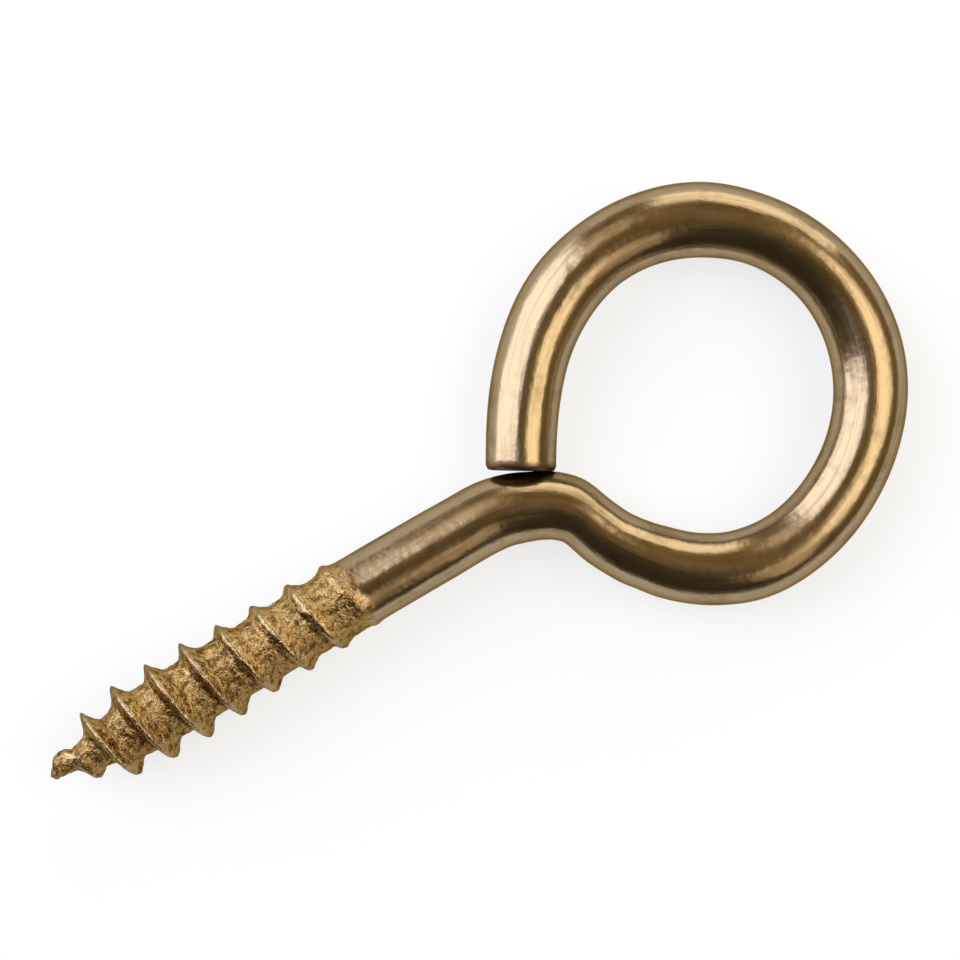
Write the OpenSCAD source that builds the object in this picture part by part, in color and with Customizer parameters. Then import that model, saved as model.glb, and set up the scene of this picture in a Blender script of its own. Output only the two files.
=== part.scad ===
// Screw eye: one length of round wire, bent to an eye at one end and
// rolled to a wood-screw thread with a gimlet point at the other.
//
// The origin is the centre of the eye, in the plane that the wire is bent in.
// +X runs along the shank from the point to the eye, and +Z is square to the eye.

/* [Wire] */
// Diameter of the wire
wire_d = 3.8; // [3:0.1:5]
// Length of plain wire between the thread and the neck
plain_length = 6.2; // [4:0.1:30]

/* [Neck] */
// Inside radius of the gentle bend out of the shank
gentle_inner_r = 7.2; // [5:0.2:10]
// Angle that the gentle bend turns through
gentle_turn = 18; // [10:1:25]
// Inside radius of the tight bend under the eye
tight_inner_r = 1.7; // [1:0.1:3]

/* [Eye] */
// Inside diameter of the eye
eye_id = 14.2; // [12:0.2:24]
// Distance from the shank's centre line to the eye's centre
eye_offset = 0.35; // [0:0.05:1]
// Direction from the eye's centre at which the eye starts to open
mouth_start = 128; // [115:1:135]
// Radius of the wire's centre line where the eye opens
mouth_r = 12.6; // [10:0.2:16]
// Angle that the wire turns through where the eye opens
mouth_turn = 21; // [15:1:28]
// Gap between the cut end of the wire and the neck
end_gap = 0.1; // [0.05:0.05:1]
// Radius of the rolled edge round the cut end
end_round = 0.25; // [0.1:0.05:0.5]

/* [Thread] */
// Length of the thread, from the point to the end of its run-out
thread_length = 19.2; // [12:0.2:40]
// Distance from one turn of the thread to the next
pitch = 2.1; // [1.8:0.05:2.8]
// Depth of the core between the turns below the wire's surface
root_depth = 0.15; // [0.05:0.05:0.3]
// Height of the crest above the wire's surface near the point
crest_height = 0.55; // [0.4:0.05:0.8]
// Height of the crest above the wire's surface near the plain shank
upper_crest_height = 0.28; // [0.1:0.02:0.4]
// Distance from the point over which the crest keeps its greater height
full_crest_length = 8; // [6:0.5:10]
// Length over which the crest comes down to its lesser height
crest_fall_length = 6; // [2:0.5:8]
// Width of the flat along the crest
crest_land = 0.15; // [0.1:0.05:0.25]
// Width of the ridge's flank on the side of the point
lead_flank = 0.42; // [0.3:0.02:0.6]
// Width of the ridge's flank on the side of the eye
trail_flank = 0.68; // [0.5:0.02:0.8]
// Length over which the core rises to the plain wire
core_run_out = 1.7; // [1:0.1:3]
// Length over which the ridge sinks into the plain wire
ridge_run_out = 1; // [0.5:0.1:3]

/* [Point] */
// Angle between the two sides of the point's cone
point_angle = 29; // [24:1:40]
// Diameter of the blunt nose at the very point
nose_d = 0.6; // [0.4:0.05:0.8]
// Distance behind the nose at which the ridge starts
ridge_start = 0.4; // [0:0.1:1]
// Length over which the ridge grows to its height on the cone
ridge_growth = 2.3; // [1:0.1:4]
// Height of the ridge above the cone
point_ridge = 0.9; // [0.6:0.05:1.1]
// Direction round the shank in which the thread leaves the nose
thread_start = 340; // [0:5:360]

/* [Hidden] */
$fn = 60;

// Every second stretch of the wire is thinner by a hair and runs on into its neighbours,
// so that all of them join as one solid
HAIR = 0.02;
RUN_ON = 0.03;
wire_r = wire_d / 2;
thin_r = wire_r - HAIR;

// Radius of the wire's centre line in each bend
gentle_r = gentle_inner_r + thin_r;
tight_r = tight_inner_r + wire_r;
eye_r = eye_id / 2 + thin_r;

// The neck turns away until the eye, curving the other way, comes round the origin.
// The turn is a whole number of thousandths of a degree.
neck_rise = gentle_r * (1 - cos(gentle_turn)) + tight_r * cos(gentle_turn);
neck_turn = round(1000 * acos((neck_rise - eye_offset) / (eye_r + tight_r))) / 1000;
eye_turn = 90 + neck_turn + mouth_start;
tight_centre = -(eye_r + tight_r) * [sin(neck_turn), cos(neck_turn)];
gentle_centre = tight_centre - (gentle_r - tight_r) * [sin(gentle_turn), cos(gentle_turn)];
thread_end = gentle_centre - [plain_length, -gentle_r];

// The free end runs straight on from the mouth, until an edge of it is the gap from the neck
mouth_end = mouth_start + mouth_turn;
mouth_out = [cos(mouth_end), sin(mouth_end)];
mouth_run = [-sin(mouth_end), cos(mouth_end)];
mouth_centre = (eye_r - mouth_r) * [cos(mouth_start), sin(mouth_start)];
end_middle = mouth_centre + mouth_r * mouth_out - end_round * mouth_run;
end_edge = (thin_r - end_round) * mouth_out;
end_clear = wire_r + end_gap + end_round;
end_length = min(
    run_until(end_middle - end_edge, tight_centre, tight_r + end_clear),
    run_until(end_middle + end_edge, gentle_centre, gentle_r + end_clear)
);

// How far a point runs along the free end before it is a distance from a bend's centre
function run_until(start, centre, distance) =
    let (away = start - centre,
         ahead = away * mouth_run,
         spare = ahead * ahead - away * away + distance * distance)
    spare < 0 ? eye_r : -ahead - sqrt(spare);

// Four lines run along the thread's ridge: its foot and its crest on each side
STEPS_PER_TURN = 36;
root_r = wire_r - root_depth;
nose_r = nose_d / 2;
nose_length = nose_r / 3;
LINES = [0, lead_flank, lead_flank + crest_land, lead_flank + crest_land + trail_flank];
LAST_LINE = len(LINES) - 1;
run_out_end = thread_length - LINES[LAST_LINE];
last_turn = ceil(STEPS_PER_TURN * run_out_end / pitch);
last_step = last_turn + STEPS_PER_TURN;

// A smooth rise from 0 to 1 over a length that starts at a
function ease(t, a, length) =
    let (u = min(1, max(0, (t - a) / length))) u * u * (3 - 2 * u);

// Radius of the core at a distance t from the point
function core_r(t) =
    min(root_r, nose_r + t * tan(point_angle / 2))
    + (root_depth - HAIR) * ease(t, run_out_end - core_run_out, core_run_out);

// Radius that the crest has where the core is straight
function crest_r(t) =
    wire_r + crest_height
    - (crest_height - upper_crest_height) * ease(t, full_crest_length, crest_fall_length);

// Height of the ridge at a distance t, over a foot that is a little nearer the point
function ridge_height(t, foot) =
    min(point_ridge * ease(foot, ridge_start, ridge_growth), crest_r(t) - core_r(t))
    * (1 - ease(foot, run_out_end - ridge_run_out, ridge_run_out));

function foot(step) = nose_length + pitch * step / STEPS_PER_TURN;
function along(step, line) = foot(step) + LINES[line];
function thread_r(step, line) =
    let (t = along(step, line), is_crest = line > 0 && line < LAST_LINE)
    core_r(t) + (is_crest ? ridge_height(t, foot(step)) : 0);

// A point in the direction of a step round the shank
function round_shank(t, r, step) =
    let (turn = thread_start + 360 * step / STEPS_PER_TURN) [t, r * cos(turn), r * sin(turn)];

// Where each point stands in the list: nose tip, tail, nose ring, then the lines step by step
NOSE = 0;
TAIL = 1;
function ring(step) = 2 + step % STEPS_PER_TURN;
function on_line(step, line) = 2 + STEPS_PER_TURN + step * len(LINES) + line;
// The next line towards the eye: past the last one it is the first, one turn further on
function beside(step, line) =
    line < LAST_LINE ? on_line(step, line + 1) : on_line(step + STEPS_PER_TURN, 0);

// The threaded end, from its nose at the start of X to a tail that lies inside the plain shank
module threaded_end() {
    points = [
        [0, 0, 0],
        [(along(last_turn, LAST_LINE) + along(last_step, LAST_LINE)) / 2, 0, 0],
        for (step = [0:STEPS_PER_TURN - 1]) round_shank(nose_length / 2, nose_r, step),
        for (step = [0:last_step], line = [0:LAST_LINE])
            round_shank(along(step, line), thread_r(step, line), step)
    ];
    // From the nose's tip to its ring, and on to the foot of the first turn
    seam = on_line(STEPS_PER_TURN - 1, 0);
    nose = [
        for (step = [0:STEPS_PER_TURN - 1]) [NOSE, ring(step), ring(step + 1)],
        for (step = [0:STEPS_PER_TURN - 1]) [ring(step), on_line(step, 0), ring(step + 1)],
        for (step = [1:STEPS_PER_TURN - 1]) [ring(step), on_line(step - 1, 0), on_line(step, 0)],
        [seam, on_line(0, 0), ring(0)],
        for (line = [0:LAST_LINE]) [seam, beside(0, line), on_line(0, line)]
    ];
    // Flank, crest and flank at every step, and the root up to the next turn
    ridge = [
        for (step = [0:last_step - 1], line = [0:LAST_LINE])
            if (line < LAST_LINE || step < last_turn)
                each [
                    [on_line(step, line), beside(step, line), on_line(step + 1, line)],
                    [on_line(step + 1, line), beside(step, line), beside(step + 1, line)]
                ]
    ];
    tail = [
        for (step = [last_turn:last_step - 1])
            [TAIL, on_line(step + 1, LAST_LINE), on_line(step, LAST_LINE)],
        for (line = [0:LAST_LINE - 1])
            [TAIL, on_line(last_step, line), on_line(last_step, line + 1)],
        [TAIL, on_line(last_turn, LAST_LINE), on_line(last_step, 0)]
    ];
    polyhedron(points = points, faces = concat(nose, ridge, tail), convexity = 10);
}

// Straight wire along +X, with what follows at its end
module straight(length) {
    rotate([0, 90, 0])
        cylinder(d = wire_d, h = length);
    translate([length, 0, 0])
        children();
}

// Wire bent to the left, or to the right where the turn is negative, with what follows at its end
module bend(r, turn, thinner = false) {
    more = thinner ? RUN_ON / r * 180 / PI : 0;
    mirror([0, turn < 0 ? 1 : 0, 0])
        translate([0, r, 0])
            rotate_extrude(angle = abs(turn) + 2 * more, start = -90 - more)
                translate([r, 0])
                    circle(r = thinner ? thin_r : wire_r);
    translate([r * sin(abs(turn)), sign(turn) * r * (1 - cos(turn)), 0])
        rotate([0, 0, turn])
            children();
}

// Straight wire that is cut square, with its edge rolled over by the shear
module cut_end() {
    outline = [
        [0, -RUN_ON],
        [thin_r, -RUN_ON],
        for (a = [0:15:90])
            [thin_r - end_round * (1 - cos(a)), end_length - end_round * (1 - sin(a))],
        [0, end_length]
    ];
    rotate([0, 90, 0])
        rotate_extrude()
            polygon(outline);
}

module screw_eye() {
    color("goldenrod")
        translate([thread_end[0], thread_end[1], 0]) {
            translate([-thread_length, 0, 0])
                threaded_end();
            straight(plain_length)
                bend(gentle_r, -gentle_turn, thinner = true)
                    bend(tight_r, gentle_turn - neck_turn)
                        bend(eye_r, eye_turn, thinner = true)
                            bend(mouth_r, mouth_turn)
                                cut_end();
        }
}

screw_eye();
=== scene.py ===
"""A screw eye of brass-plated wire, laid on a plain pale floor under soft studio light."""

import math

import bpy
from bpy.props import FloatProperty, FloatVectorProperty, PointerProperty
from mathutils import Matrix, Vector


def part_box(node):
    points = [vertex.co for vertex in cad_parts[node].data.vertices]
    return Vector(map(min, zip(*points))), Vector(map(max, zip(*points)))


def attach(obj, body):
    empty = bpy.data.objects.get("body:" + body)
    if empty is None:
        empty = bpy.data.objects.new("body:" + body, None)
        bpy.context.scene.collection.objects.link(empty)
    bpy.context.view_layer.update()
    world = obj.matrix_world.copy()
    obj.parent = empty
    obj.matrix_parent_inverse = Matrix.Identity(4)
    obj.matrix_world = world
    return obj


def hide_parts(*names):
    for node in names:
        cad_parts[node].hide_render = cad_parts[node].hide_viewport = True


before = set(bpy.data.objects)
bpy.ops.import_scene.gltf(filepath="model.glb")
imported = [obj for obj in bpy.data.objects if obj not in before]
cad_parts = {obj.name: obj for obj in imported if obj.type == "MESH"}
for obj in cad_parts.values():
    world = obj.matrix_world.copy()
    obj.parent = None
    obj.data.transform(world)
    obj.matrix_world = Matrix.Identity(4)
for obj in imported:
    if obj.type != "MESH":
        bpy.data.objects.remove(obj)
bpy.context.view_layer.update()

bl_info = {
    "name": "Screw eye",
    "version": (1, 0, 0),
    "blender": (4, 5, 0),
    "location": "3D View > Sidebar > Screw Eye",
    "description": "Bends a screw eye from brass-plated wire and lights it on a pale floor",
    "category": "Object",
}

NODE = "screw_eye"
BODY = "root"
MM = 0.001

# The frame's box gives the place of the point and the floor that the crests lie on
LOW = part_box(NODE)[0]
POINT_X = LOW.x

# Bends of the wire: where each starts past the thread, over what length, and the turn in degrees.
# The thread's axis runs along +X and the eye is centred on the origin.
SHANK_Y = 0.39
LEAN = (-3.0, 6.0, -1.0)
GENTLE_BEND = (6.1, 3.6, -22.6)
TIGHT_BEND = (9.5, 3.1, -43.7)
EYE_START = (12.0, 16.2, 79.0)
EYE = (20.4, 46.8, 228.2)
# Share of the eye's length over which its bend sets in, and over which it ends
SOFT_END = 0.25

# Width of the wire in the plane of the eye, as (mm past the thread, share of the diameter):
# the tight bend pinched it, and the bending pin left it a little uneven round the eye
WIDTHS = (
    (0, 1.01), (4, 1.005), (6, 0.99), (7.2, 0.995), (8.5, 0.98), (10, 0.945), (11.4, 0.925),
    (12.6, 0.855), (14.2, 0.885), (16, 0.93), (17.5, 0.97), (20, 0.99), (22, 1.015), (25, 0.995),
    (29, 0.995), (35, 1.02), (41, 0.97), (44, 0.975), (47.5, 1.035), (53, 1.0), (56, 1.02),
    (60, 0.99), (66, 0.965),
)
# How far the wire strays from those bends, to the side where the eye's inside is, as
# (mm past the thread, mm)
SWAY = (
    (7.5, 0.0), (10.2, -0.055), (12.2, 0.025), (14.3, -0.09), (15.2, -0.07), (16.8, 0.01),
    (18.5, 0.0), (21.5, -0.03), (25, 0.03), (29, 0.0), (32, 0.03), (45, 0.03), (48, 0.0),
)

# Spacing in mm of the points of the centre line, and how many of them lie past the cut end
LINE_STEP = 0.1
LINE_SPARE = 8


def linear(hex_colour):
    """An sRGB hex colour as linear RGBA."""
    parts = [int(hex_colour[i:i + 2], 16) / 255 for i in (1, 3, 5)]
    return [c / 12.92 if c <= 0.04045 else ((c + 0.055) / 1.055) ** 2.4 for c in parts] + [1.0]


def add(tree, kind, links=None, **settings):
    """Adds a node of that kind.

    links maps an input's name or number to a value, or to a socket that feeds it."""
    node = tree.nodes.new(kind)
    for name, value in settings.items():
        setattr(node, name, value)
    for key, value in (links or {}).items():
        socket = node.inputs[key]
        if isinstance(value, bpy.types.NodeSocket):
            tree.links.new(value, socket)
        else:
            socket.default_value = value
    return node


def maths_in(tree):
    """A function that adds a Math node to that tree and returns the socket of its result."""
    def maths(operation, *values):
        return add(tree, "ShaderNodeMath", dict(enumerate(values)), operation=operation).outputs[0]
    return maths


def vector_maths(tree, operation, *values):
    """The vector that a Vector Math node makes of the ones given."""
    inputs = dict(enumerate(values))
    return add(tree, "ShaderNodeVectorMath", inputs, operation=operation).outputs[0]


def mapped(tree, value, span, at_start, at_end, way="SMOOTHSTEP"):
    """A value that goes from one number to another while the value given crosses that span."""
    return add(tree, "ShaderNodeMapRange", {
        "Value": value, "From Min": span[0], "From Max": span[1],
        "To Min": at_start, "To Max": at_end,
    }, interpolation_type=way).outputs[0]


def noise(tree, vector, size, detail, roughness):
    """Noise with features of that size in mm."""
    return add(tree, "ShaderNodeTexNoise", {
        "Vector": vector, "Scale": 1 / (size * MM), "Detail": detail, "Roughness": roughness,
    }).outputs["Fac"]


def shape_curve(node, points):
    """Gives a Float Curve node those points, with handles that don't overshoot."""
    curve = node.mapping.curves[0]
    for _ in points[2:]:
        curve.points.new(0.5, 0.5)
    for point, place in zip(curve.points, points):
        point.location = place
        point.handle_type = "AUTO_CLAMPED"
    node.mapping.update()


# ---------------------------------------------------------------- sizes


class ScrewEyeWire(bpy.types.PropertyGroup):
    """Sizes of the wire and its thread."""

    wire_diameter: FloatProperty(
        name="Wire diameter", description="Diameter of the drawn wire",
        default=3.8 * MM, min=0.001, unit="LENGTH",
    )
    thread_length: FloatProperty(
        name="Thread length", description="From the point to the end of the thread's run-out",
        default=19.2 * MM, min=0.005, unit="LENGTH",
    )
    pitch: FloatProperty(
        name="Pitch", description="From one turn of the thread to the next",
        default=2.1 * MM, min=0.0005, unit="LENGTH",
    )
    crest_place: FloatProperty(
        name="First crest", description="Distance from the point to a crest on the +Y side",
        default=0.88 * MM, unit="LENGTH",
    )
    bent_length: FloatProperty(
        name="Bent length", description="Length of wire from the thread to the cut end",
        default=65.45 * MM, min=0.01, unit="LENGTH",
    )
    edge_radius: FloatProperty(
        name="Cut edge", description="Radius of the edge that the shear rolled over",
        default=0.25 * MM, min=0.00001, unit="LENGTH",
    )
    lump_height: FloatProperty(
        name="Lumps", description="Unevenness that the rolling dies left on the thread",
        default=0.3 * MM, min=0.0, unit="LENGTH",
    )


class ScrewEyeFinish(bpy.types.PropertyGroup):
    """Colours of the wire, and the painted shade at its cut end."""

    brass: FloatVectorProperty(
        name="Brass plating", description="Clean brass plating on the drawn wire",
        subtype="COLOR", size=4, default=linear("#A39072"), min=0.0, max=1.0,
    )
    rolled_brass: FloatVectorProperty(
        name="Rolled thread", description="Yellower, matt plating on the rolled thread",
        subtype="COLOR", size=4, default=linear("#B0915C"), min=0.0, max=1.0,
    )
    copper: FloatVectorProperty(
        name="Copper flash", description="Copper-rich specks where the plating is thin",
        subtype="COLOR", size=4, default=linear("#B89478"), min=0.0, max=1.0,
    )
    tarnish: FloatVectorProperty(
        name="Tarnish", description="Brown film in hollows and in patches along the wire",
        subtype="COLOR", size=4, default=linear("#54401F"), min=0.0, max=1.0,
    )
    # Painted shade: darker colour for the last of the wire before the cut, where the end meets the
    # neck
    painted_end_shade: FloatVectorProperty(
        name="Cut edge", description="Dull edge where the shear bruised the plating",
        subtype="COLOR", size=4, default=linear("#6E564A"), min=0.0, max=1.0,
    )


# ---------------------------------------------------------------- centre line


def eased(place, bend):
    """How much of a bend's turn lies before a place, for a bend that is tightest in its middle."""
    start, length, turn = bend
    u = min(1.0, max(0.0, (place - start) / length))
    return turn * u * u * (3 - 2 * u)


def even(place, bend):
    """The same for a bend of even radius whose ends are soft."""
    start, length, turn = bend
    u = min(1.0, max(0.0, (place - start) / length))
    if u < SOFT_END:
        share = u * u / (2 * SOFT_END)
    elif u > 1 - SOFT_END:
        share = 1 - SOFT_END - (1 - u) ** 2 / (2 * SOFT_END)
    else:
        share = u - SOFT_END / 2
    return turn * share / (1 - SOFT_END)


def heading(place):
    """Direction of the wire in radians, at a distance in mm past the thread."""
    turns = [eased(place, bend) for bend in (LEAN, GENTLE_BEND, TIGHT_BEND, EYE_START)]
    return math.radians(sum(turns) + even(place, EYE))


def between_points(points, place):
    """Value of an outline at a place, eased from one of its points to the next."""
    if place <= points[0][0]:
        return points[0][1]
    for (before, low), (after, high) in zip(points, points[1:]):
        if place <= after:
            u = (place - before) / (after - before)
            return low + (high - low) * u * u * (3 - 2 * u)
    return points[-1][1]


def centre_line(wire):
    """A curve along the middle of the wire, from the point to just past the cut end, in metres.

    The radius of each point holds the wire's width there, as a share of the diameter."""
    thread = wire.thread_length / MM
    count = int((thread + wire.bent_length / MM) / LINE_STEP) + LINE_SPARE
    x, y = POINT_X / MM, SHANK_Y
    places = []
    for i in range(count):
        place = i * LINE_STEP - thread
        across, sway = heading(place) + math.pi / 2, between_points(SWAY, place)
        places.append((
            x + sway * math.cos(across), y + sway * math.sin(across), between_points(WIDTHS, place),
        ))
        along = heading(place + LINE_STEP / 2)
        x += LINE_STEP * math.cos(along)
        y += LINE_STEP * math.sin(along)
    data = bpy.data.curves.new("wire_centre_line", "CURVE")
    data.dimensions = "3D"
    spline = data.splines.new("POLY")
    spline.points.add(count - 1)
    for point, (px, py, share) in zip(spline.points, places):
        point.co = (px * MM, py * MM, 0, 1)
        point.radius = share
    return data


# ---------------------------------------------------------------- wire

# Faces round the wire, rows to a pitch of the thread, the length of a row on the drawn wire, and
# the distance within which points are welded
AROUND = 128
ROWS_PER_PITCH = 32
PLAIN_STEP = 0.27 * MM
WELD = 1e-7

# Outlines along the thread as (mm from the point, radius in mm)
CORE = (
    (0, 0.0), (0.08, 0.02), (0.16, 0.22), (0.3, 0.33), (0.42, 0.38), (0.57, 0.5), (0.75, 0.58),
    (1.2, 0.6), (1.9, 0.74), (2.8, 1.03), (4.0, 1.3), (5.0, 1.58), (6.2, 1.7), (8.0, 1.73),
    (13.0, 1.74), (16.0, 1.8), (17.8, 1.86), (18.8, 1.9), (19.2, 1.9),
)
CREST = (
    (0, 0.0), (0.08, 0.02), (0.16, 0.22), (0.3, 0.33), (0.42, 0.38), (0.57, 0.5), (0.75, 0.6),
    (1.3, 0.7), (2.1, 1.3), (3.0, 2.02), (4.1, 2.28), (5.2, 2.42), (7.4, 2.49), (9.2, 2.49),
    (11.0, 2.35), (13.5, 2.23), (16.7, 2.21), (18.2, 2.06), (19.2, 1.9),
)
# How far the very point is hooked aside, as (mm from the point, mm)
HOOK = (
    (0, 0.0), (0.27, 0.03), (0.42, 0.12), (0.6, 0.22), (0.78, 0.26), (1.2, 0.25), (1.6, 0.05),
    (1.9, 0.0), (19.2, 0.0),
)
# Outline across one ridge as (share of the pitch, share of the height), and where its crest lies
RIDGE = (
    (0, 0.0), (0.14, 0.0), (0.19, 0.08), (0.3, 0.55), (0.385, 0.96), (0.415, 1.0), (0.45, 0.95),
    (0.5, 0.75), (0.6, 0.42), (0.7, 0.15), (0.78, 0.02), (0.84, 0.0), (1, 0.0),
)
RIDGE_MIDDLE = 0.4
# A curve node holds shares from 0 to 1, so each outline is kept as shares of a top in mm
CURVE_TOP = 2.5
HOOK_TOP = 0.5
# Over this length in mm from the point, the crests lie nearer the shank than an even pitch would
# put them, at the very point by so many mm
FIRST_TURN = 4.0
FIRST_LAG = 0.6
# Whole turns added so that the count of turns is never below nought
SPARE_TURNS = 10
# Shares of the thread's length between which the rolled surface gives way to drawn wire
ROLLED_END = (0.93, 1.0)
# Lumps that the dies left: size in mm, detail and roughness, the level that counts as nought,
# and the length over which they set in from the point
LUMPS = (0.9, 3.0, 0.62)
LUMP_LEVEL = 0.55
LUMP_START = (0.0, 1.2 * MM)
# Slope of the cut face, and how far before the end the slant sets in and is complete
CUT_SLOPE = 0.025
CUT_ZONE = (1.6 * MM, 0.4 * MM)


def wire_tree():
    """Geometry nodes that roll the thread on a straight wire and bend it along a given curve."""
    tree = bpy.data.node_groups.new("roll_and_bend_wire", "GeometryNodeTree")
    face = tree.interface
    face.new_socket("Centre line", in_out="INPUT", socket_type="NodeSocketGeometry")
    for name in (
        "Wire radius", "Thread length", "Pitch", "Crest place", "End place", "Edge radius",
        "Lump height",
    ):
        face.new_socket(name, in_out="INPUT", socket_type="NodeSocketFloat")
    face.new_socket("Material", in_out="INPUT", socket_type="NodeSocketMaterial")
    face.new_socket("Wire", in_out="OUTPUT", socket_type="NodeSocketGeometry")
    given = add(tree, "NodeGroupInput").outputs
    maths = maths_in(tree)

    def position():
        spot = add(tree, "GeometryNodeInputPosition").outputs[0]
        return add(tree, "ShaderNodeSeparateXYZ", {0: spot}).outputs

    def point(x, y, z=0.0):
        return add(tree, "ShaderNodeCombineXYZ", {"X": x, "Y": y, "Z": z}).outputs[0]

    def grid(length, rows):
        return add(tree, "GeometryNodeMeshGrid", {
            "Size X": length, "Size Y": math.tau,
            "Vertices X": maths("ADD", rows, 1), "Vertices Y": AROUND + 1,
        }).outputs["Mesh"]

    def moved(geometry, target):
        nodes = {"Geometry": geometry, "Position": target}
        return add(tree, "GeometryNodeSetPosition", nodes).outputs[0]

    def noted(geometry, name, value, kind="FLOAT"):
        return add(tree, "GeometryNodeStoreNamedAttribute", {
            "Geometry": geometry, "Name": name, "Value": value,
        }, data_type=kind, domain="POINT").outputs[0]

    def outline(points, top, factor):
        node = add(tree, "ShaderNodeFloatCurve", {"Value": factor})
        shape_curve(node, [(x / points[-1][0], y / top) for x, y in points])
        return maths("MULTIPLY", node.outputs[0], top)

    radius, thread_end, pitch = given["Wire radius"], given["Thread length"], given["Pitch"]
    end, edge = given["End place"], given["Edge radius"]
    flat = position()
    turn = maths("ADD", flat["Y"], math.pi)

    # Threaded stretch: a grid sheared by one pitch a turn, so that its rows follow the ridge
    row_step = maths("DIVIDE", pitch, ROWS_PER_PITCH)
    rows = maths("CEIL", maths("DIVIDE", maths("ADD", thread_end, pitch), row_step))
    helix_length = maths("MULTIPLY", rows, row_step)
    start = maths("ADD", flat["X"], maths("MULTIPLY", helix_length, 0.5))
    shear = maths("MULTIPLY", turn, maths("DIVIDE", pitch, math.tau))
    place = maths("ADD", maths("SUBTRACT", start, pitch), shear)
    place = maths("MINIMUM", maths("MAXIMUM", place, 0.0), thread_end)
    helix = moved(grid(helix_length, rows), point(place, turn))

    # Plain stretch: square rows on to the cut end, over its rolled edge and in to its middle
    plain_length = maths("SUBTRACT", end, thread_end)
    plain_length = maths("ADD", plain_length, maths("ADD", radius, edge))
    plain_rows = maths("CEIL", maths("DIVIDE", plain_length, PLAIN_STEP))
    beyond = maths("ADD", flat["X"], maths("MULTIPLY", plain_length, 0.5))
    plain = moved(grid(plain_length, plain_rows), point(maths("ADD", thread_end, beyond), turn))
    both = add(tree, "GeometryNodeJoinGeometry", {0: helix})
    tree.links.new(plain, both.inputs[0])

    # Both stretches now hold the distance from the point in X and the angle round the wire in Y
    now = position()
    along, angle = now["X"], now["Y"]
    share = maths("MINIMUM", maths("DIVIDE", along, thread_end), 1.0)

    core = maths("MULTIPLY", outline(CORE, CURVE_TOP, share), MM)
    crest = maths("MULTIPLY", outline(CREST, CURVE_TOP, share), MM)
    early = maths("SUBTRACT", 1.0, maths("DIVIDE", along, FIRST_TURN * MM))
    early = maths("MAXIMUM", early, 0.0)
    lag = maths("MULTIPLY", maths("MULTIPLY", early, early), FIRST_LAG * MM)
    wound = maths("SUBTRACT", maths("SUBTRACT", along, lag), given["Crest place"])
    turns = maths("SUBTRACT", maths("DIVIDE", wound, pitch), maths("DIVIDE", angle, math.tau))
    phase = maths("FRACT", maths("ADD", turns, SPARE_TURNS + RIDGE_MIDDLE))
    ridge = outline(RIDGE, 1.0, phase)
    smooth_r = maths("ADD", core, maths("MULTIPLY", maths("SUBTRACT", crest, core), ridge))

    # The cut end: near the end place the surface rolls over the edge, then runs in to the middle
    past = maths("MAXIMUM", maths("SUBTRACT", along, maths("SUBTRACT", end, edge)), 0.0)
    quarter = maths("MULTIPLY", edge, math.pi / 2)
    rolled = maths("DIVIDE", maths("MINIMUM", past, quarter), edge)
    inward = maths("MAXIMUM", maths("SUBTRACT", past, quarter), 0.0)
    forward = maths("MULTIPLY", edge, maths("SINE", rolled))
    sunk = maths("MULTIPLY", edge, maths("SUBTRACT", 1.0, maths("COSINE", rolled)))
    drop = maths("ADD", sunk, inward)
    true_along = maths("ADD", maths("SUBTRACT", along, past), forward)

    # Lumps left by the dies, only where the thread is
    cosine, sine = maths("COSINE", angle), maths("SINE", angle)
    straight = point(
        true_along, maths("MULTIPLY", smooth_r, cosine), maths("MULTIPLY", smooth_r, sine),
    )
    threaded = mapped(tree, share, ROLLED_END, 1.0, 0.0)
    begun = mapped(tree, along, LUMP_START, 0.0, 1.0)
    lump = maths("SUBTRACT", noise(tree, straight, *LUMPS), LUMP_LEVEL)
    lump = maths("MULTIPLY", lump, given["Lump height"])
    lump = maths("MULTIPLY", maths("MULTIPLY", lump, threaded), begun)
    full_r = maths("MAXIMUM", maths("SUBTRACT", maths("ADD", smooth_r, lump), drop), 0.0)

    # Bend: each point goes beside the centre line's own point, in the line's plane and square to it
    hook = maths("MULTIPLY", outline(HOOK, HOOK_TOP, share), MM)
    side = maths("ADD", maths("MULTIPLY", full_r, cosine), hook)
    slant = mapped(tree, maths("SUBTRACT", end, along), CUT_ZONE, 0.0, CUT_SLOPE)
    true_along = maths("ADD", true_along, maths("MULTIPLY", side, slant))
    spot = add(tree, "GeometryNodeSampleCurve", {
        "Curves": given["Centre line"], "Length": true_along,
        "Value": add(tree, "GeometryNodeInputRadius").outputs[0],
    }, mode="LENGTH", data_type="FLOAT")
    leftward = vector_maths(tree, "CROSS_PRODUCT", (0.0, 0.0, 1.0), spot.outputs["Tangent"])
    sideways = add(tree, "ShaderNodeVectorMath", {
        0: leftward, "Scale": maths("MULTIPLY", side, spot.outputs["Value"]),
    }, operation="SCALE").outputs[0]
    level = vector_maths(tree, "ADD", spot.outputs["Position"], sideways)
    target = vector_maths(tree, "ADD", level, point(0.0, 0.0, maths("MULTIPLY", full_r, sine)))

    # The finish reads the place on the straight wire, before it was bent, and where the thread is
    wire = noted(both.outputs[0], "straight_wire", straight, "FLOAT_VECTOR")
    wire = noted(wire, "ridge", maths("MULTIPLY", ridge, threaded))
    wire = noted(wire, "threaded", threaded)
    bent = moved(wire, target)
    welded = add(tree, "GeometryNodeMergeByDistance", {"Geometry": bent, "Distance": WELD})
    outward = add(tree, "GeometryNodeFlipFaces", {"Mesh": welded.outputs[0]})
    smooth = add(tree, "GeometryNodeSetShadeSmooth", {"Geometry": outward.outputs[0]})
    real = add(tree, "GeometryNodeRealizeInstances", {"Geometry": smooth.outputs[0]})
    clad = add(tree, "GeometryNodeSetMaterial", {
        "Geometry": real.outputs[0], "Material": given["Material"],
    })
    add(tree, "NodeGroupOutput", {0: clad.outputs[0]})
    return tree


# ---------------------------------------------------------------- finish

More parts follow.
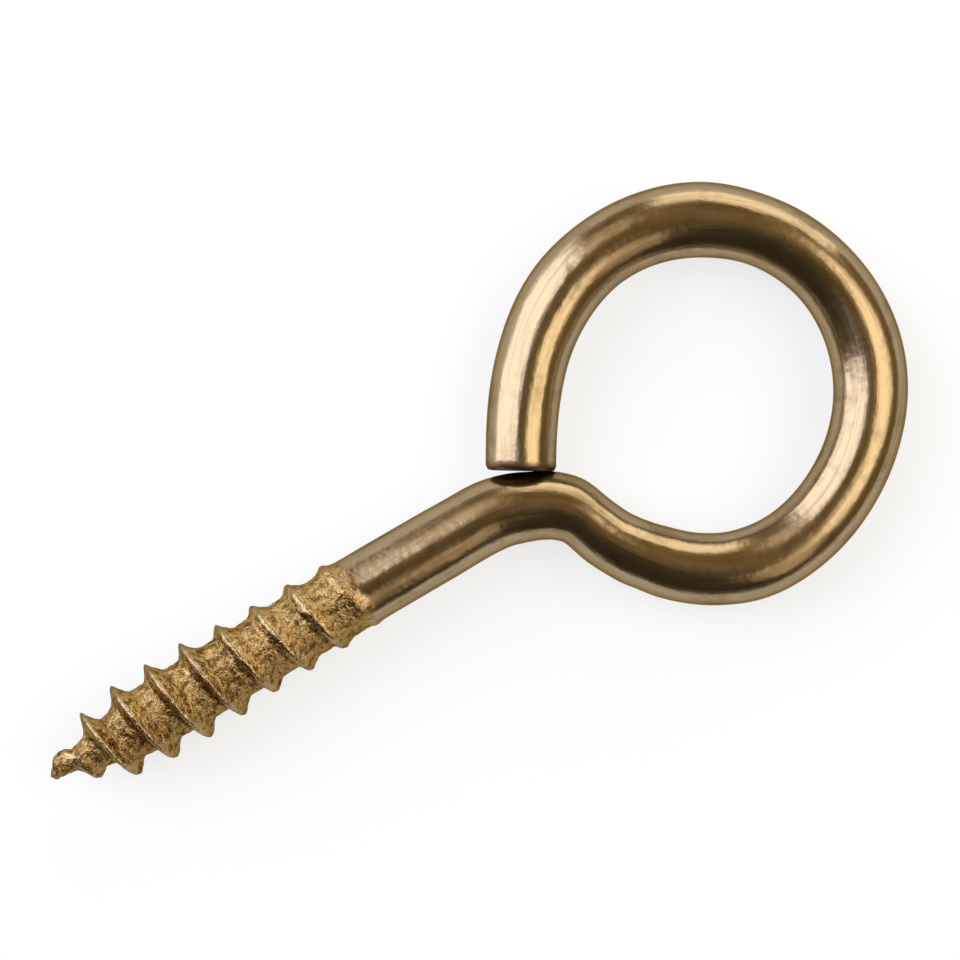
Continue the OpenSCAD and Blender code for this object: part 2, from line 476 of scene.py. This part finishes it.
# The oxide film on old plating keeps its brown toward grazing angles
EDGE_TINT = "#A89C88"

# Textures of the plating, each as (size in mm, detail, roughness):
# die lines, which are drawn out along the wire by that stretch
LINES = (0.25, 3.0, 0.6)
LINE_STRETCH = 0.06
# Waves left by drawing and bending
WAVES = (1.4, 2.0, 0.55)
# Handling marks and thin film
PATCHES = (1.7, 5.0, 0.65)
# Fine mottling
SCUFFS = (0.32, 3.0, 0.6)
# Grain of the plating
GRAIN = (0.13, 2.0, 0.5)
# Pits that the dies pressed into the thread
PITS = (0.36, 3.0, 0.65)

# Heights of those textures in mm, on the drawn wire and on the thread
PLAIN_RELIEF = {"lines": 0.008, "grain": 0.002, "waves": 0.03, "scuffs": 0.005}
THREAD_RELIEF = {"pits": 0.22, "grain": 0.022}
# Share of the thread's relief that is left on a crest
CREST_RELIEF = 0.35

# Painted shade at the cut end, for the shade where the end meets the neck: where it starts and
# is full, in mm before the end, how far the scuffs shift its edge, and its roughness
PAINTED_END_SHADE = (0.42, 0.12)
PAINTED_END_SHADE_RAGGED = 0.3
PAINTED_END_SHADE_ROUGH = 0.45
CREST_ROUGH = 0.16


def plated_wire(finish, end):
    """Brass plating on drawn steel wire: satin, with fine streaks that the drawing die left along
    the wire, and matt, pitted and yellower where the dies rolled the thread."""
    material = bpy.data.materials.new("brass_plated_drawn_wire")
    material.use_nodes = True
    tree = material.node_tree
    tree.nodes.clear()
    maths = maths_in(tree)

    def attribute(name, output):
        return add(tree, "ShaderNodeAttribute", attribute_name=name).outputs[output]

    def mixed(factor, one, other):
        ends = {0: factor, 6: one, 7: other}
        return add(tree, "ShaderNodeMix", ends, data_type="RGBA").outputs[2]

    def blended(factor, one, other):
        ends = {0: factor, 2: one, 3: other}
        return add(tree, "ShaderNodeMix", ends, data_type="FLOAT").outputs[0]

    def between(value, low, high, at_low, at_high):
        return mapped(tree, value, (low, high), at_low, at_high, "LINEAR")

    def relief(heights):
        parts = [maths("MULTIPLY", textures[name], h * MM) for name, h in heights.items()]
        total = parts[0]
        for part in parts[1:]:
            total = maths("ADD", total, part)
        return total

    straight = attribute("straight_wire", "Vector")
    threaded = attribute("threaded", "Fac")
    ridge = attribute("ridge", "Fac")
    lines_at = add(tree, "ShaderNodeMapping", {
        "Vector": straight, "Scale": (LINE_STRETCH, 1.0, 1.0),
    }).outputs[0]
    textures = {
        "lines": noise(tree, lines_at, *LINES),
        "waves": noise(tree, straight, *WAVES),
        "patches": noise(tree, straight, *PATCHES),
        "scuffs": noise(tree, straight, *SCUFFS),
        "grain": noise(tree, straight, *GRAIN),
        "pits": noise(tree, straight, *PITS),
    }
    lines, patches, scuffs = textures["lines"], textures["patches"], textures["scuffs"]
    grain, pits = textures["grain"], textures["pits"]
    brass, rolled_brass = tuple(finish.brass), tuple(finish.rolled_brass)
    # The last of these is the painted shade at the cut end
    copper, tarnish, painted_end_shade_colour = tuple(finish.copper), tuple(finish.tarnish), tuple(finish.painted_end_shade)

    # Drawn wire: film in patches, and darker die lines
    plain_colour = mixed(between(patches, 0.52, 0.72, 0.0, 0.4), brass, tarnish)
    plain_colour = mixed(between(lines, 0.5, 0.68, 0.0, 0.22), plain_colour, tarnish)
    plain_rough = between(lines, 0.3, 0.7, 0.15, 0.27)

    # Thread: copper-rich specks, brown pits, and crests that were rubbed bright
    worn = between(ridge, 0.72, 1.0, 0.0, 0.8)
    thread_colour = mixed(between(scuffs, 0.52, 0.68, 0.0, 0.9), rolled_brass, copper)
    thread_colour = mixed(between(pits, 0.38, 0.52, 0.85, 0.0), thread_colour, tarnish)
    thread_colour = mixed(worn, thread_colour, brass)
    thread_rough = blended(worn, between(grain, 0.35, 0.65, 0.2, 0.42), CREST_ROUGH)

    # Painted shade: the last of the wire before the cut is darker, for the shade where the end
    # meets the neck, and rougher
    distance = add(tree, "ShaderNodeSeparateXYZ", {0: straight}).outputs["X"]
    ragged = maths("ADD", distance, maths("MULTIPLY", scuffs, PAINTED_END_SHADE_RAGGED * MM))
    painted_end_shade = between(ragged, end - PAINTED_END_SHADE[0] * MM, end - PAINTED_END_SHADE[1] * MM, 0.0, 0.8)
    colour = mixed(painted_end_shade, mixed(threaded, plain_colour, thread_colour), painted_end_shade_colour)
    rough = blended(painted_end_shade, blended(threaded, plain_rough, thread_rough), PAINTED_END_SHADE_ROUGH)

    on_ridge = between(ridge, 0.3, 1.0, 1.0, CREST_RELIEF)
    thread_height = maths("MULTIPLY", relief(THREAD_RELIEF), on_ridge)
    height = blended(threaded, relief(PLAIN_RELIEF), thread_height)
    bump = add(tree, "ShaderNodeBump", {"Strength": 1.0, "Distance": 1.0, "Height": height})

    shader = add(tree, "ShaderNodeBsdfPrincipled", {
        "Base Color": colour, "Metallic": 1.0, "Roughness": rough, "Normal": bump.outputs[0],
        "Specular Tint": linear(EDGE_TINT),
    })
    add(tree, "ShaderNodeOutputMaterial", {"Surface": shader.outputs[0]})
    return material


# ---------------------------------------------------------------- stage

FLOOR_COLOUR = "#8E9199"
FLOOR_GLOW = 0.73
# The floor is flat out to one radius and has curved up to its full rise at the other, in metres
FLOOR_FLAT_R = 1.2
FLOOR_RIM_R = 2.0
FLOOR_RISE = 0.12
FLOOR_AROUND = 96
FLOOR_CURVE_STEPS = 12

# The camera's view: its turn, its middle and its width in the frame's axes
VIEW_TURN = math.radians(-31.12)
VIEW_MIDDLE = Vector((-12.10 * MM, 2.08 * MM, 0.0))
VIEW_WIDTH = 49.84 * MM
LENS = 120.0
SENSOR = 36.0

# Distance in metres from the eye to every soft box
LAMP_DISTANCE = 0.6
# Round soft boxes: the direction in the camera's view (0 is right, 90 is up), the angle from
# straight above, their breadth and depth as angles, and their colour and radiance
ROUND_BOXES = {
    "right_soft_box": (3, 38, 56, 43, "#FFF6E4", 2.5),
    "low_soft_box": (-55, 46, 20, 44, "#FFEACC", 0.85),
    "side_panel": (116, 40, 12, 34, "#FFF4E4", 0.8),
}
# Upright soft boxes that stand on the floor: the direction, their breadth, the angle from straight
# above to their top edge, and their colour and radiance
UPRIGHT_BOXES = {
    "left_soft_box": (157.5, 59, 17, "#E6ECFF", 3.4),
    "top_soft_box": (73.5, 55, 54, "#FFFCF0", 2.15),
}
# The room behind the lamps: its colours, the direction in which it is darkest, and the cosines of
# the angle from that direction at which the dark sets in and is full
WORLD_DARK = "#494134"
WORLD_LIGHT = "#8F7843"
WORLD_DARK_AT = (-105, 62)
WORLD_DARK_SPAN = (0.25, 0.85)


def pale_paper():
    """Matt seamless paper: white to the eye, with the object's soft shadow on it."""
    material = bpy.data.materials.new("matt_seamless_paper")
    material.use_nodes = True
    tree = material.node_tree
    tree.nodes.clear()
    maths = maths_in(tree)
    path = add(tree, "ShaderNodeLightPath").outputs
    seen = maths("MAXIMUM", path["Is Camera Ray"], path["Is Glossy Ray"])
    seen = maths("MAXIMUM", seen, path["Is Transmission Ray"])
    paper = add(tree, "ShaderNodeBsdfPrincipled", {
        "Base Color": linear(FLOOR_COLOUR), "Roughness": 1.0, "Specular IOR Level": 0.0,
        "Emission Color": (1.0, 1.0, 1.0, 1.0),
        "Emission Strength": maths("MULTIPLY", seen, FLOOR_GLOW),
    })
    add(tree, "ShaderNodeOutputMaterial", {"Surface": paper.outputs[0]})
    return material


def sweep_floor():
    """A round floor that curves up at its rim, as seamless paper does."""
    profile = [(FLOOR_FLAT_R, 0.0)]
    for i in range(1, FLOOR_CURVE_STEPS + 1):
        part = math.pi / 2 * i / FLOOR_CURVE_STEPS
        profile.append((
            FLOOR_FLAT_R + (FLOOR_RIM_R - FLOOR_FLAT_R) * math.sin(part),
            FLOOR_RISE * (1 - math.cos(part)),
        ))
    around = FLOOR_AROUND
    verts = [(0.0, 0.0, LOW.z)]
    for r, h in profile:
        for i in range(around):
            turn = math.tau * i / around
            verts.append((r * math.cos(turn), r * math.sin(turn), LOW.z + h))
    faces = [(0, 1 + i, 1 + (i + 1) % around) for i in range(around)]
    for ring in range(len(profile) - 1):
        low = 1 + ring * around
        for i in range(around):
            j = (i + 1) % around
            faces.append((low + i, low + around + i, low + around + j, low + j))
    mesh = bpy.data.meshes.new("paper_floor")
    mesh.from_pydata(verts, [], faces)
    for face in mesh.polygons:
        face.use_smooth = True
    mesh.materials.append(pale_paper())
    return bpy.data.objects.new("paper_floor", mesh)


def toward(azimuth, zenith):
    """Unit vector to a direction given in the camera's terms, in degrees."""
    turn = math.radians(azimuth) + VIEW_TURN
    tilt = math.radians(zenith)
    flat = math.sin(tilt)
    return Vector((flat * math.cos(turn), flat * math.sin(turn), math.cos(tilt)))


def soft_box(name, shape, size, colour, radiance, middle, away):
    """An area lamp of that size and radiance, at a place, that faces against the vector given."""
    data = bpy.data.lights.new(name, "AREA")
    data.shape = shape
    data.size, data.size_y = size
    data.color = linear(colour)[:3]
    area = size[0] * size[1] * (math.pi / 4 if shape == "ELLIPSE" else 1.0)
    data.energy = radiance * math.pi * area
    lamp = bpy.data.objects.new(name, data)
    across = away.cross(Vector((0, 0, 1))).normalized()
    turned = Matrix((across, away.cross(across), away)).transposed()
    lamp.matrix_world = Matrix.Translation(middle) @ turned.to_4x4()
    return lamp


def round_box(name, azimuth, zenith, breadth, depth, colour, radiance):
    """A round lamp that faces the object and fills those angles as seen from it."""
    away = toward(azimuth, zenith)
    size = [2 * LAMP_DISTANCE * math.tan(math.radians(angle / 2)) for angle in (breadth, depth)]
    return soft_box(name, "ELLIPSE", size, colour, radiance, away * LAMP_DISTANCE, away)


def upright_box(name, azimuth, breadth, top, colour, radiance):
    """An oblong lamp that stands on the floor and reaches up to that angle from straight above."""
    away = toward(azimuth, 90)
    size = (
        2 * LAMP_DISTANCE * math.tan(math.radians(breadth / 2)),
        LAMP_DISTANCE / math.tan(math.radians(top)),
    )
    middle = away * LAMP_DISTANCE + Vector((0, 0, LOW.z + size[1] / 2))
    return soft_box(name, "RECTANGLE", size, colour, radiance, middle, away)


def dim_studio():
    """A dim room that is darkest behind the table, where no lamp stands."""
    world = bpy.data.worlds.new("dim_studio")
    world.use_nodes = True
    tree = world.node_tree
    tree.nodes.clear()
    ray = add(tree, "ShaderNodeTexCoord").outputs["Generated"]
    facing = add(tree, "ShaderNodeVectorMath", {
        0: ray, 1: toward(*WORLD_DARK_AT),
    }, operation="DOT_PRODUCT").outputs["Value"]
    walls = add(tree, "ShaderNodeMix", {
        0: mapped(tree, facing, WORLD_DARK_SPAN, 0.0, 1.0),
        6: linear(WORLD_LIGHT), 7: linear(WORLD_DARK),
    }, data_type="RGBA")
    glow = add(tree, "ShaderNodeBackground", {"Color": walls.outputs[2]})
    add(tree, "ShaderNodeOutputWorld", {"Surface": glow.outputs[0]})
    return world


def overhead_camera():
    """A long lens that looks straight down, turned so that the shank rises to the right."""
    data = bpy.data.cameras.new("overhead_camera")
    data.lens = LENS
    data.sensor_width = SENSOR
    data.clip_start = 0.001
    data.clip_end = 10.0
    data.dof.use_dof = False
    camera = bpy.data.objects.new("overhead_camera", data)
    middle = VIEW_MIDDLE + Vector((0, 0, VIEW_WIDTH * LENS / SENSOR))
    camera.matrix_world = Matrix.Translation(middle) @ Matrix.Rotation(VIEW_TURN, 4, "Z")
    return camera


# ---------------------------------------------------------------- operators


class OBJECT_OT_screw_eye_wire(bpy.types.Operator):
    """Rolls the thread and bends the eye of one length of plated wire"""

    bl_idname = "object.screw_eye_wire"
    bl_label = "Bend the wire"
    bl_options = {"REGISTER", "UNDO"}

    def execute(self, context):
        wire = context.scene.screw_eye_wire
        end = wire.thread_length + wire.bent_length
        raw = bpy.data.objects.new("centre_line", centre_line(wire))
        context.collection.objects.link(raw)
        modifier = raw.modifiers.new("wire", "NODES")
        modifier.node_group = wire_tree()
        values = {
            "Wire radius": wire.wire_diameter / 2,
            "Thread length": wire.thread_length,
            "Pitch": wire.pitch,
            "Crest place": wire.crest_place,
            "End place": end,
            "Edge radius": wire.edge_radius,
            "Lump height": wire.lump_height,
            "Material": plated_wire(context.scene.screw_eye_finish, end),
        }
        for item in modifier.node_group.interface.items_tree:
            if item.in_out == "INPUT" and item.name in values:
                modifier[item.identifier] = values[item.name]
        graph = context.evaluated_depsgraph_get()
        mesh = bpy.data.meshes.new_from_object(raw.evaluated_get(graph), depsgraph=graph)
        if not mesh.polygons:
            raise RuntimeError("the geometry nodes made no wire")
        bpy.data.objects.remove(raw)
        mesh.name = "bent_wire"
        piece = bpy.data.objects.new("bent_wire", mesh)
        context.collection.objects.link(piece)
        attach(piece, BODY)
        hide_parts(NODE)
        return {"FINISHED"}


class SCENE_OT_screw_eye_stage(bpy.types.Operator):
    """Lays the pale floor, sets the soft boxes and places the camera"""

    bl_idname = "scene.screw_eye_stage"
    bl_label = "Light the stage"
    bl_options = {"REGISTER", "UNDO"}

    def execute(self, context):
        scene = context.scene
        floor = sweep_floor()
        context.collection.objects.link(floor)
        lamps = [round_box(name, *settings) for name, settings in ROUND_BOXES.items()]
        lamps += [upright_box(name, *settings) for name, settings in UPRIGHT_BOXES.items()]
        for lamp in lamps:
            context.collection.objects.link(lamp)
        scene.world = dim_studio()
        camera = overhead_camera()
        context.collection.objects.link(camera)
        scene.camera = camera
        scene.view_settings.view_transform = "Standard"
        return {"FINISHED"}


class VIEW3D_PT_screw_eye(bpy.types.Panel):
    """Sizes, colours and steps of the screw eye"""

    bl_label = "Screw Eye"
    bl_space_type = "VIEW_3D"
    bl_region_type = "UI"
    bl_category = "Screw Eye"

    def draw(self, context):
        layout = self.layout
        for group in (context.scene.screw_eye_wire, context.scene.screw_eye_finish):
            box = layout.box()
            for name in group.__annotations__:
                box.prop(group, name)
        layout.operator(OBJECT_OT_screw_eye_wire.bl_idname)
        layout.operator(SCENE_OT_screw_eye_stage.bl_idname)


CLASSES = (
    ScrewEyeWire,
    ScrewEyeFinish,
    OBJECT_OT_screw_eye_wire,
    SCENE_OT_screw_eye_stage,
    VIEW3D_PT_screw_eye,
)


def register():
    for cls in CLASSES:
        bpy.utils.register_class(cls)
    bpy.types.Scene.screw_eye_wire = PointerProperty(type=ScrewEyeWire)
    bpy.types.Scene.screw_eye_finish = PointerProperty(type=ScrewEyeFinish)


def unregister():
    del bpy.types.Scene.screw_eye_finish
    del bpy.types.Scene.screw_eye_wire
    for cls in reversed(CLASSES):
        bpy.utils.unregister_class(cls)


def main():
    register()
    bpy.ops.object.screw_eye_wire()
    bpy.ops.scene.screw_eye_stage()


if __name__ == "__main__":
    main()
